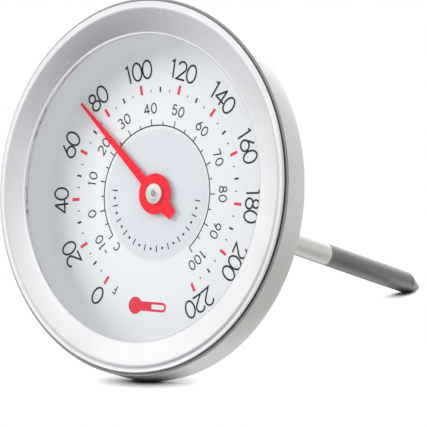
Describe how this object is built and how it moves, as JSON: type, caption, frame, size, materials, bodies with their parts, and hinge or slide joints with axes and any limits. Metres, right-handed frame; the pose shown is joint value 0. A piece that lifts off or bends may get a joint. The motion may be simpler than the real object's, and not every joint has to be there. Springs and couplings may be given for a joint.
{
  "type": "dial probe thermometer",
  "caption": "Bimetal dial thermometer with a round stainless head, dished white dial, red pointer and a long thin probe stem that turns in the head for calibration.",
  "frame": {"origin": "on the stem's axis, at the rear face of the hex fitting, where the bare stem begins", "axes": "+Y along the stem towards its tip, so the dial faces -Y; +Z towards twelve o'clock on the dial; +X to the right of someone who reads the dial"},
  "size_m": [0.0514, 0.1368, 0.0514],
  "materials": {
    "bezel_steel": "satin",
    "case_steel": "satin",
    "fitting_steel": "turned",
    "stem_steel": "polished",
    "spring_steel": "plain",
    "bimetal": "plain",
    "bearing_brass": "turned",
    "cap_nickel": "nickel plated",
    "window": "clear",
    "gasket_rubber": "matte",
    "spacer_plastic": "moulded",
    "dial_white": "satin white",
    "pointer_red": "satin red"
  },
  "bodies": {
    "stem": {"hex_fitting": "fitting_steel", "friction_washer": "gasket_rubber", "spring_washer": "spring_steel", "retaining_ring": "spring_steel", "stem_tube": "stem_steel", "stem_tip": "stem_steel", "bimetal_coil": "bimetal", "coil_anchor": "bearing_brass", "guide_bearings": "bearing_brass", "upper_bearing": "bearing_brass"},
    "head": {"case_shell": "case_steel", "bezel": "bezel_steel", "rim_seal": "gasket_rubber", "lens_gasket": "gasket_rubber", "lens": "window", "dial_plate": "dial_white", "spacer_ring": "spacer_plastic"},
    "pointer": {"pointer": "pointer_red", "pointer_cap": "cap_nickel", "pointer_bush": "bearing_brass", "pointer_shaft": "spring_steel", "coil_collet": "bearing_brass"}
  },
  "joints": [
    {"name": "calibration_turn", "type": "hinge", "parent": "stem", "child": "head", "pos_m": [0, -0.00625, 0], "axis": [0, 1, 0], "continuous": true},
    {"name": "pointer_swing", "type": "hinge", "parent": "stem", "child": "pointer", "pos_m": [0, -0.01, 0], "axis": [0, 1, 0], "range_deg": [-95.9, 198.8]}
  ]
}
